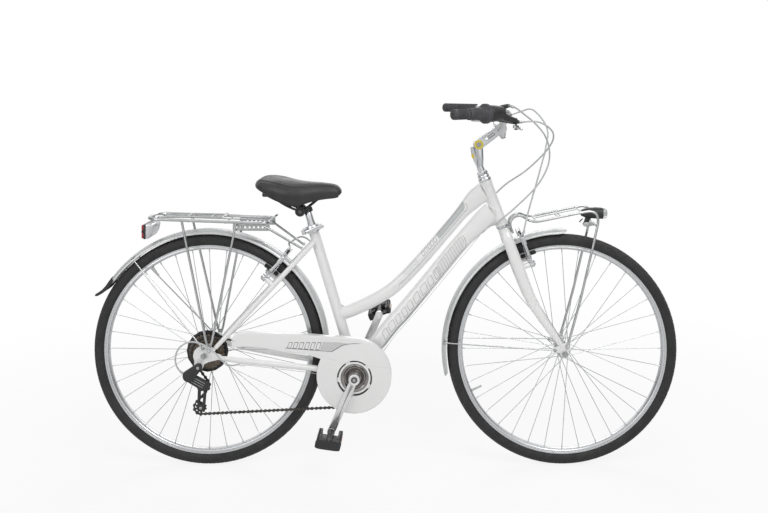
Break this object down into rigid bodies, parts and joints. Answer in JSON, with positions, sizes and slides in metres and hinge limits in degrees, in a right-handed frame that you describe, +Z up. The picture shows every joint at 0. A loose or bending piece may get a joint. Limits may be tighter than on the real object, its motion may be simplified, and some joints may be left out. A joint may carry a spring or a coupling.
{
  "type": "city bicycle",
  "caption": "Low-step city bicycle with fenders, front and rear racks, chain guard, derailleur gear, rim brakes, swept-back handlebar, headlight and rear lamp.",
  "frame": {"origin": "on the ground midway between the wheels, at the centre of the base of the part's bounding box", "axes": "+X forwards towards the front wheel, +Y to the rider's left, +Z up; the chain is on the -Y side"},
  "size_m": [1.77, 0.6164, 1.1006],
  "materials": {
    "painted_frame": "gloss white paint",
    "painted_silver": "satin silver paint",
    "bright_chrome": "polished",
    "bare_aluminium": "brushed",
    "dark_steel": "oiled steel",
    "tyre_rubber": "black tread",
    "grip_rubber": "dark grey, matt",
    "black_plastic": "black, lightly textured",
    "saddle_cover": "black synthetic cover over foam",
    "red_lens": "clear red",
    "cable_housing": "grey sleeve, bare wire where it leaves its stops"
  },
  "bodies": {
    "frame": {"bottom_bracket_shell": "painted_frame", "seat_tube": "painted_frame", "top_tube": "painted_frame", "down_tube": "painted_frame", "head_tube": "painted_frame", "right_chain_stay": "painted_frame", "left_chain_stay": "painted_frame", "seat_stays": "painted_frame", "lower_headset": "bright_chrome", "upper_headset": "bright_chrome", "chain_guard": "painted_frame", "chain": "dark_steel", "derailleur": "black_plastic", "rear_fender": "painted_silver", "rear_rack": "painted_silver", "tail_light": "red_lens", "seat_clamp": "bright_chrome", "rear_axle": "dark_steel", "rear_brake_cable": "cable_housing", "shift_cable": "cable_housing", "rear_shift_cable": "cable_housing"},
    "rear_wheel": {"rear_hub": "bright_chrome", "rear_rim": "bare_aluminium", "rear_tyre": "tyre_rubber", "spoke_protector": "black_plastic"},
    "freewheel": {"freewheel": "dark_steel"},
    "crankset": {"right_crank": "bright_chrome", "left_crank": "bright_chrome"},
    "right_pedal": {"right_pedal": "black_plastic"},
    "left_pedal": {"left_pedal": "black_plastic"},
    "guide_pulley": {"guide_pulley": "black_plastic"},
    "tension_pulley": {"tension_pulley": "black_plastic"},
    "seat": {"seatpost": "bright_chrome", "saddle_base": "black_plastic", "saddle_cushion": "saddle_cover"},
    "seat_quick_release": {"seat_quick_release": "bright_chrome"},
    "rack_flap": {"rack_flap": "painted_silver"},
    "rear_brake_right_arm": {"rear_brake_right_arm": "black_plastic"},
    "rear_brake_left_arm": {"rear_brake_left_arm": "black_plastic"},
    "steering": {"fork": "painted_frame", "front_axle": "dark_steel", "front_fender": "painted_silver", "front_rack": "painted_silver", "front_brake_cable": "cable_housing", "quill_stem": "bright_chrome", "stem_arm": "bright_chrome", "handlebar": "bare_aluminium", "right_grip": "grip_rubber", "left_grip": "grip_rubber", "right_lever_bracket": "black_plastic", "left_lever_bracket": "black_plastic"},
    "front_wheel": {"front_hub": "bright_chrome", "front_rim": "bare_aluminium", "front_tyre": "tyre_rubber"},
    "headlight": {"headlight": "black_plastic"},
    "twist_shifter": {"twist_shifter": "grip_rubber"},
    "right_brake_lever": {"right_brake_lever": "black_plastic"},
    "left_brake_lever": {"left_brake_lever": "black_plastic"},
    "front_brake_right_arm": {"front_brake_right_arm": "black_plastic"},
    "front_brake_left_arm": {"front_brake_left_arm": "black_plastic"}
  },
  "joints": [
    {"name": "steering_turn", "type": "hinge", "parent": "frame", "child": "steering", "pos_m": [0.50043, 0, 0.33563], "axis": [-0.3518, 0, 0.9361], "range_deg": [-50, 50], "deforming": ["rear_brake_cable", "shift_cable"]},
    {"name": "front_wheel_spin", "type": "hinge", "parent": "steering", "child": "front_wheel", "pos_m": [0.536, 0, 0.349], "axis": [0, 1, 0], "continuous": true},
    {"name": "rear_wheel_spin", "type": "hinge", "parent": "frame", "child": "rear_wheel", "pos_m": [-0.536, 0, 0.349], "axis": [0, 1, 0], "continuous": true},
    {"name": "crank_spin", "type": "hinge", "parent": "frame", "child": "crankset", "pos_m": [-0.09054, 0, 0.2785], "axis": [0, 1, 0], "continuous": true},
    {"name": "freewheel_spin", "type": "hinge", "parent": "frame", "child": "freewheel", "pos_m": [-0.536, 0, 0.349], "axis": [0, 1, 0], "continuous": true},
    {"name": "guide_pulley_spin", "type": "hinge", "parent": "frame", "child": "guide_pulley", "pos_m": [-0.5462, -0.045, 0.253], "axis": [0, 1, 0], "continuous": true},
    {"name": "tension_pulley_spin", "type": "hinge", "parent": "frame", "child": "tension_pulley", "pos_m": [-0.5502, -0.045, 0.1873], "axis": [0, 1, 0], "continuous": true},
    {"name": "right_pedal_spin", "type": "hinge", "parent": "crankset", "child": "right_pedal", "pos_m": [-0.15888, -0.124, 0.12502], "axis": [0, 1, 0], "continuous": true},
    {"name": "left_pedal_spin", "type": "hinge", "parent": "crankset", "child": "left_pedal", "pos_m": [-0.02221, 0.124, 0.43198], "axis": [0, 1, 0], "continuous": true},
    {"name": "seatpost_slide", "type": "slide", "parent": "frame", "child": "seat", "axis": [-0.2874, 0, 0.9578], "range_m": [-0.03, 0.15]},
    {"name": "quick_release_swing", "type": "hinge", "parent": "frame", "child": "seat_quick_release", "pos_m": [-0.24524, -0.0276, 0.70713], "axis": [0.2874, 0, -0.9578], "range_deg": [0, 150]},
    {"name": "rack_flap_swing", "type": "hinge", "parent": "frame", "child": "rack_flap", "pos_m": [-0.681, 0, 0.7509], "axis": [0, -1, 0], "range_deg": [0, 60], "stiffness_Nm_per_rad": 0.9, "springref_deg": -28.65},
    {"name": "rear_brake_right_swing", "type": "hinge", "parent": "frame", "child": "rear_brake_right_arm", "pos_m": [-0.36304, -0.04, 0.57263], "axis": [-0.729, 0, 0.6845], "range_deg": [0, 3.8], "stiffness_Nm_per_rad": 0.6, "springref_deg": -8.59},
    {"name": "rear_brake_left_swing", "type": "hinge", "parent": "frame", "child": "rear_brake_left_arm", "pos_m": [-0.36304, 0.04, 0.57263], "axis": [0.729, 0, -0.6845], "range_deg": [0, 3.8], "stiffness_Nm_per_rad": 0.6, "springref_deg": -8.59},
    {"name": "front_brake_right_swing", "type": "hinge", "parent": "steering", "child": "front_brake_right_arm", "pos_m": [0.44073, -0.04, 0.61383], "axis": [-0.9361, 0, -0.3518], "range_deg": [0, 3.8], "stiffness_Nm_per_rad": 0.6, "springref_deg": -8.59},
    {"name": "front_brake_left_swing", "type": "hinge", "parent": "steering", "child": "front_brake_left_arm", "pos_m": [0.44073, 0.04, 0.61383], "axis": [0.9361, 0, 0.3518], "range_deg": [0, 3.8], "stiffness_Nm_per_rad": 0.6, "springref_deg": -8.59},
    {"name": "right_brake_lever_pull", "type": "hinge", "parent": "steering", "child": "right_brake_lever", "pos_m": [0.37589, -0.172, 1.0346], "axis": [0, 0, -1], "range_deg": [0, 20], "stiffness_Nm_per_rad": 0.4, "springref_deg": -14.32},
    {"name": "left_brake_lever_pull", "type": "hinge", "parent": "steering", "child": "left_brake_lever", "pos_m": [0.37589, 0.172, 1.0346], "axis": [0, 0, 1], "range_deg": [0, 20], "stiffness_Nm_per_rad": 0.4, "springref_deg": -14.32},
    {"name": "twist_shifter_turn", "type": "hinge", "parent": "steering", "child": "twist_shifter", "pos_m": [0.33959, -0.1893, 1.07261], "axis": [-0.809, -0.5878, 0], "range_deg": [-55, 55]},
    {"name": "headlight_tilt", "type": "hinge", "parent": "steering", "child": "headlight", "pos_m": [0.608, 0, 0.727], "axis": [0, 1, 0], "range_deg": [-8, 15]}
  ],
  "couplings": [
    {"joint": "freewheel_spin", "follows": "crank_spin", "ratio": 2},
    {"joint": "guide_pulley_spin", "follows": "crank_spin", "ratio": -4.4},
    {"joint": "tension_pulley_spin", "follows": "crank_spin", "ratio": 4.4},
    {"joint": "rear_brake_right_swing", "follows": "right_brake_lever_pull", "ratio": 0.19},
    {"joint": "rear_brake_left_swing", "follows": "right_brake_lever_pull", "ratio": 0.19},
    {"joint": "front_brake_right_swing", "follows": "left_brake_lever_pull", "ratio": 0.19},
    {"joint": "front_brake_left_swing", "follows": "left_brake_lever_pull", "ratio": 0.19}
  ]
}
